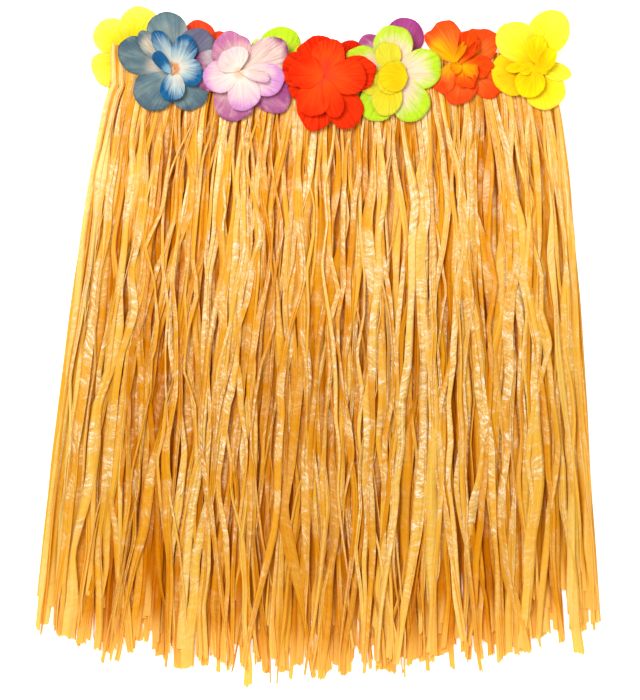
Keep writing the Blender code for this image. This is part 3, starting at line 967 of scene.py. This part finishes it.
# each petal: its turn in degrees, length and width in mm, and what sets it apart from its whorl
flowers = {
    "blue": {
        "centre": (-104.7, 201.8),
        "outer": {
            "habit": dict(base=11.2, lift=1.6, cup=0.5, tilt=0.7, ruffle=0.35, full=0.42, scallop=0.4),
            "petals": [
                petal(
                    49.5, 36.5, 26, tint=0.1, base=10.9,
                    stain=((0.21, 0.15, 0.27), 0.75, 0.1, 1.2, 0.3, 1.2),
                ),
                petal(
                    99, 42, 30, lift=2.2, tint=-0.34, lean=-0.12,
                    stain=((0.92, 0.72, 0.58), 0.7, -0.75, 0.22, 0.5, 0.95),
                ),
                petal(
                    161.5, 43, 26.5, lift=2.2, tilt=-0.8, full=0.2, skew=-0.13, lean=-0.1,
                    stain=((0.95, 0.76, 0.58), 0.9, 0.0, 1.2, 0.2, 0.46),
                ),
                petal(
                    135, 36, 15, base=12.2, lift=2.4, tint=-0.2, full=0.5,
                    stain=((0.95, 0.76, 0.55), 1.3, -0.05, 0.55, 0.2, 0.84),
                ),
                petal(224, 36.5, 31, lean=0.08),
                petal(304, 33, 28, tilt=-0.6),
            ],
        },
        "inner": {
            "habit": dict(base=13.0, lift=3.2, cup=1.6, tilt=0.6, ruffle=0.6, full=0.48),
            "petals": [
                petal(-12, 21.5, 19.5, lean=-0.28),
                petal(62, 26, 18.5, tint=0.02),
                petal(117, 31, 12.5, tint=-0.02, cup=2.2, curl=2.0),
                petal(
                    127, 19.5, 11.5, base=15.0, tint=0.42, roll=5.5, lift=2.4, ruffle=0.9, dx=-2.4, dy=-3.8,
                    stain=((0.20, 0.46, 0.62), 2.0, 0.0, 3.0, 0.0, 0.34),
                ),
                petal(266, 24, 18, base=13.4, cup=2.0, lean=-0.3),
                petal(
                    192, 6, 8, base=13.6, lift=0.6, cup=0.3, tint=-0.6,
                    stain=((0.80, 0.36, 0.14), 1.6, 0.0, 2.0, 0.0, 0.8),
                ),
            ],
        },
    },
    "violet": {
        "centre": (-57.9, 199.9),
        "outer": {
            "habit": dict(
                base=11.8, lift=1.6, cup=0.6, tilt=0.8, ruffle=0.7, ruffles=8.0, scallop=0.6, full=0.42,
            ),
            "petals": [
                petal(
                    27.5, 39.5, 28, lift=2.4,
                    stain=((0.97, 0.80, 0.64), 1.25, 0.0, 0.85, 0.0, 0.86),
                ),
                petal(
                    109, 29.5, 30, lift=2.2, tint=-0.2, lean=0.1, full=0.3, scallop=0.9,
                    stain=((0.66, 0.20, 0.46), 0.7, 0.0, 1.3, 0.72, 1.2),
                ),
                petal(
                    178, 34, 31, tint=0.1, lift=0.9,
                    stain=((0.70, 0.70, 0.68), 1.2, -0.58, 0.3, 0.45, 0.86),
                ),
                petal(
                    261, 36.5, 30, lean=0.16, tint=-0.08,
                    stain=((0.50, 0.12, 0.36), 0.5, 0.3, 0.8, 0.6, 1.2),
                ),
                petal(
                    329, 43, 29, lift=1.2, tint=0.34, full=0.36,
                    stain=((0.45, 0.10, 0.31), 0.8, 0.0, 1.6, 0.3, 1.3),
                ),
            ],
        },
        "inner": {
            "habit": dict(base=14.2, lift=2.6, cup=1.3, tilt=0.7, ruffle=0.5, full=0.48),
            "petals": [
                petal(-17, 34, 24, tint=0.14),
                petal(-15, 23, 10, base=17.4, roll=5.0, tint=-0.1, lift=1.2, lean=-0.3),
                petal(121, 18, 24, full=0.16, tint=-0.2, base=14.9, lean=0.14, cup=1.8),
                petal(197, 26.5, 24, tint=0.04),
                petal(284, 29.5, 24, tilt=-0.7, tint=0.1, lean=-0.1),
            ],
        },
    },
    "red": {
        "centre": (3.6, 195.9),
        "outer": {
            "habit": dict(
                base=13.0, lift=2.6, cup=0.7, tilt=0.9, ruffle=1.2, ruffles=13.0, scallop=0.9, full=0.4,
            ),
            "petals": [
                petal(7, 38, 26),
                petal(106, 30.5, 29, scallop=1.0),
                petal(162, 31.5, 26, lift=3.2),
                petal(206, 28, 13, full=0.7, base=12.4),
                petal(255, 38.5, 28, lift=2.0),
                petal(303, 42, 27, lift=2.4, tilt=-0.8),
            ],
        },
        "inner": {
            "habit": dict(
                base=15.8, lift=3.0, cup=1.5, tilt=0.8, ruffle=1.0, ruffles=13.0, full=0.46, scallop=0.5,
            ),
            "petals": [
                petal(-2, 30.5, 26),
                petal(77, 27.5, 24, cup=2.2, ruffles=14.0, tint=-0.2),
                petal(166, 25, 25, tilt=-0.8, tint=0.2),
                petal(245, 31, 24.5),
                petal(289, 31.5, 15, full=0.66, cup=0.9, base=16.6, tint=0.15),
            ],
        },
    },
    "green": {
        "centre": (52.8, 198.4),
        "outer": {
            "habit": dict(
                base=12.0, lift=1.6, cup=0.7, tilt=0.8, ruffle=0.7, ruffles=10.0, scallop=0.5, full=0.4,
            ),
            "petals": [
                petal(9, 36.8, 29, lift=2.2, lean=0.06, tint=0.02),
                petal(88.6, 35, 29, lift=2.2, lean=0.1, tint=0.02),
                petal(157, 34.5, 23, lift=0.9, tint=0.06),
                petal(243, 37, 27, lift=1.0, tint=0.2),
                petal(302, 39, 28.5, lean=0.1, tint=0.05),
            ],
        },
        "inner": {
            "habit": dict(base=14.0, lift=1.6, cup=1.0, tilt=0.5, ruffle=0.4, ruffles=8.0, full=0.48),
            "petals": [
                petal(104, 23, 19, tint=0.5),
                petal(204, 25, 21, base=13.0, lift=0.3, cup=0.2, tilt=0.2, tint=0.4, full=0.36),
                petal(260, 31, 22, tint=0.1),
                petal(30, 11, 12, base=13.6),
                petal(
                    180, 20.5, 23, dx=11.4, dy=-2.9, base=17.0, lift=-0.6, cup=-0.9, full=0.42, tint=-0.5,
                ),
                petal(
                    182, 21.5, 21, dx=10.4, dy=-4.0, base=16.0, lift=-0.6, cup=-0.7, full=0.42, tint=-0.1,
                ),
            ],
        },
    },
    "orange": {
        "centre": (103.6, 204.3),
        "outer": {
            "habit": dict(
                base=11.0, lift=1.6, cup=0.8, tilt=0.6, ruffle=1.2, ruffles=12.0, scallop=1.0, full=0.36,
            ),
            "petals": [
                petal(47, 33, 26, lift=1.3, tilt=0.2, lean=0.1, tint=0.12, scallop=1.4),
                petal(
                    121, 36, 27, lift=2.6, lean=-0.1, scallop=1.6,
                    stain=((1.0, 0.60, 0.001), 1.2, 0.6, 0.45, 0.0, 0.75),
                ),
                petal(
                    248, 24, 17, dx=-7.4, dy=2.6, tint=0.05, full=0.32, base=12.0, lift=0.4, scallop=0.4,
                    ruffle=0.3, cup=0.2,
                ),
                petal(263, 28, 27, tint=0.2, base=11.4),
                petal(323, 34, 20, tint=0.2, lift=0.6, full=0.28),
            ],
        },
        "inner": {
            "habit": dict(
                base=13.0, lift=2.4, cup=1.6, tilt=0.6, ruffle=1.3, ruffles=12.0, scallop=0.8, full=0.46,
            ),
            "petals": [
                petal(-5, 22, 17, tint=0.35, lift=0.8),
                petal(76, 26, 16, roll=9.0, tint=0.12),
                petal(47, 22, 8, roll=3.6, tint=0.5, base=14.6, dx=-2.6, dy=0.6),
                petal(61, 16, 7, roll=3.0, tint=-0.5, base=16.0, dx=-6.0, dy=1.5, full=0.4),
                petal(284, 17.5, 15, tint=0.15),
                petal(328, 13.5, 10.5, tint=-0.25, base=14.0),
                petal(205, 9, 9, tint=-0.4, base=13.4),
            ],
        },
    },
    "yellow": {
        "centre": (156.3, 205.1),
        "outer": {
            "habit": dict(base=11.6, lift=2.0, cup=0.8, tilt=0.9, ruffle=0.5, ruffles=8.0, full=0.42),
            "petals": [
                petal(68, 41.5, 30.5, lift=3.0, tint=0.05),
                petal(128, 36.3, 29.5, tint=0.05),
                petal(201, 32.5, 33, tint=-0.68, lift=1.6, lean=-0.2),
                petal(291, 34, 30, lean=0.15, tint=-0.26),
                petal(340, 26.5, 13.5, point=1.0, full=0.7, base=12.6),
            ],
        },
        "inner": {
            "habit": dict(base=14.2, lift=2.2, cup=1.2, tilt=0.6, ruffle=0.4, ruffles=8.0, full=0.48),
            "petals": [
                petal(86, 21, 15.5, tint=0.2),
                petal(190, 21.5, 7.5, full=0.9),
                petal(207, 13, 9, full=0.5, base=13.6, tint=0.1),
                petal(256, 25, 22, cup=0.9, tint=-0.2),
                petal(64, 20, 15, dx=3.5, dy=-7.0, base=16.0, roll=7.0, tint=-0.1),
                petal(345, 12, 12, tint=0.1),
            ],
        },
    },
}

backFlowers = {
    "yellow": {
        "centre": (-138, 212.5),
        "look": "backYellow",
        "turns": (73, 131, 210, 262, 330),
        "long": (36.8, 32, 30, 26, 28),
        "wide": (29, 27, 27, 20, 24),
        "apart": {2: {"full": 0.12}},
    },
    "orange_red": {
        "centre": (-86, 207),
        "look": "backOrangeRed",
        "turns": (94, 45, 237, 309, 165),
        "long": (31, 30, 26, 26, 25),
        "wide": (24, 18, 22, 22, 20),
    },
    "lime": {
        "centre": (-30, 201),
        "look": "backLime",
        "turns": (84, 128, 228, 300, 12),
        "long": (33, 28.6, 21, 21, 21),
        "wide": (30, 12, 20, 20, 20),
        "apart": {1: {"stain": ((0.98, 0.93, 0.40), 2.0, 0.0, 3.0, 0.0, 1.3)}},
    },
    "dark_red": {
        "centre": (13.8, 197),
        "look": "backDarkRed",
        "turns": (54, 138, 210, 282, 354),
        "long": (29.2, 25, 17, 17, 20),
        "wide": (26, 20, 18, 18, 18),
    },
    "purple": {
        "centre": (55.9, 206.5),
        "look": "backPurple",
        "turns": (72, 144, 213, 285, 357),
        "long": (35, 32, 20, 24, 25),
        "wide": (28, 19, 19, 20, 22),
        "apart": {1: {"tint": -0.3}},
    },
    "dark_blue": {
        "centre": (109.6, 201.5),
        "look": "backBlue",
        "turns": (62, 126, 198, 270, 342),
        "long": (32.4, 26, 25, 21, 32),
        "wide": (13, 20, 20, 20, 24),
    },
}

for number, (name, flower) in enumerate(flowers.items(), 1):
    for layer in ("outer", "inner"):
        facts = flower[layer]
        label = name + layer.capitalize()
        under = "ribbonsFrontTop" if layer == "outer" else name + "Outer"
        node = f"flower_front_{number}_{name}_{layer}"
        slot = name if name in ("red", "orange", "yellow") else f"{name}_{layer}"
        sewWhorl(label, flower["centre"], facts["petals"], label, facts["habit"], node, under)
    print(name, "flower sewn")

backHabit = dict(base=1.9, lift=0.5, cup=0.3, tilt=0.4, ruffle=0.2, full=0.42, scallop=0.3, rise=4.5)
backInner = {"long": 20.5, "wide": 15, "base": 0.8}
for number, (name, flower) in enumerate(backFlowers.items(), 1):
    apart = flower.get("apart", {})
    sizes = zip(flower["turns"], flower["long"], flower["wide"])
    outer = [petal(*row, **apart.get(i, {})) for i, row in enumerate(sizes)]
    first = int(flower["turns"][0])
    inner = [petal(turn + 36, rise=0.0, **backInner) for turn in range(first, first + 360, 72)]
    label, centre = flower["look"], flower["centre"]
    node = f"flower_back_{number}_{name}_"
    sewWhorl(label + "Outer", centre, outer, label, backHabit, node + "outer", "ribbonsBackTop", True)
    sewWhorl(label + "Inner", centre, inner, label, backHabit, node + "inner", label + "Outer", True)
print("back flowers sewn")


floorLook = {"half": 3.0, "colour": (0.93, 0.93, 0.93), "roughness": 0.75, "glow": 0.42}


def makeFloor(look):
    made, wire = newMaterial("floorPaper")
    shader = wire.make(
        "ShaderNodeBsdfPrincipled",
        {
            "Base Color": look["colour"],
            "Roughness": look["roughness"],
            "Specular IOR Level": 0.0,
            "Emission Color": (1.0, 1.0, 1.0),
            "Emission Strength": look["glow"],
        },
    )
    finishMaterial(wire, shader)
    mesh = bpy.data.meshes.new("floorSheet")
    half = look["half"]
    corners = [(-half, -half, 0), (half, -half, 0), (half, half, 0), (-half, half, 0)]
    mesh.from_pydata(corners, [], [(0, 1, 2, 3)])
    mesh.materials.append(made)
    newObject("floorSheet", mesh)


makeFloor(floorLook)

lights = {
    "key": {"at": (-0.7, 0.7, 1.8), "size": 1.0, "power": 48.0},
    "fill": {"at": (1.3, -0.2, 1.5), "size": 1.4, "power": 14.0},
    "low": {"at": (0.0, -1.6, 1.0), "size": 1.2, "power": 8.0},
}


def makeLight(name, facts):
    data = bpy.data.lights.new(name, "AREA")
    data.shape = "DISK"
    data.size = facts["size"]
    data.energy = facts["power"]
    light = newObject(name, data)
    light.location = facts["at"]
    aim = Vector((0.0, 0.0, 0.0)) - light.location
    light.rotation_euler = aim.to_track_quat("-Z", "Y").to_euler()


for name, facts in lights.items():
    makeLight(name, facts)

world = bpy.data.worlds.new("studio")
world.use_nodes = True
sky = world.node_tree.nodes["Background"].inputs
sky["Color"].default_value = (1.0, 1.0, 1.0, 1.0)
sky["Strength"].default_value = 0.445
bpy.context.scene.world = world

shot = {
    "x": 0.7 * mm,
    "y": -1.8 * mm,
    "height": 2.0,
    "focusZ": 9.0 * mm,
    "frameHeight": 508.2 * mm,
    "sensor": 36.0,
}
cameraData = bpy.data.cameras.new("camera")
cameraData.sensor_width = shot["sensor"]
cameraData.lens = shot["sensor"] * shot["height"] / shot["frameHeight"]
camera = newObject("camera", cameraData)
camera.location = (shot["x"], shot["y"], shot["height"] + shot["focusZ"])
bpy.context.scene.camera = camera
bpy.context.scene.view_settings.view_transform = "Standard"
print("stage set")
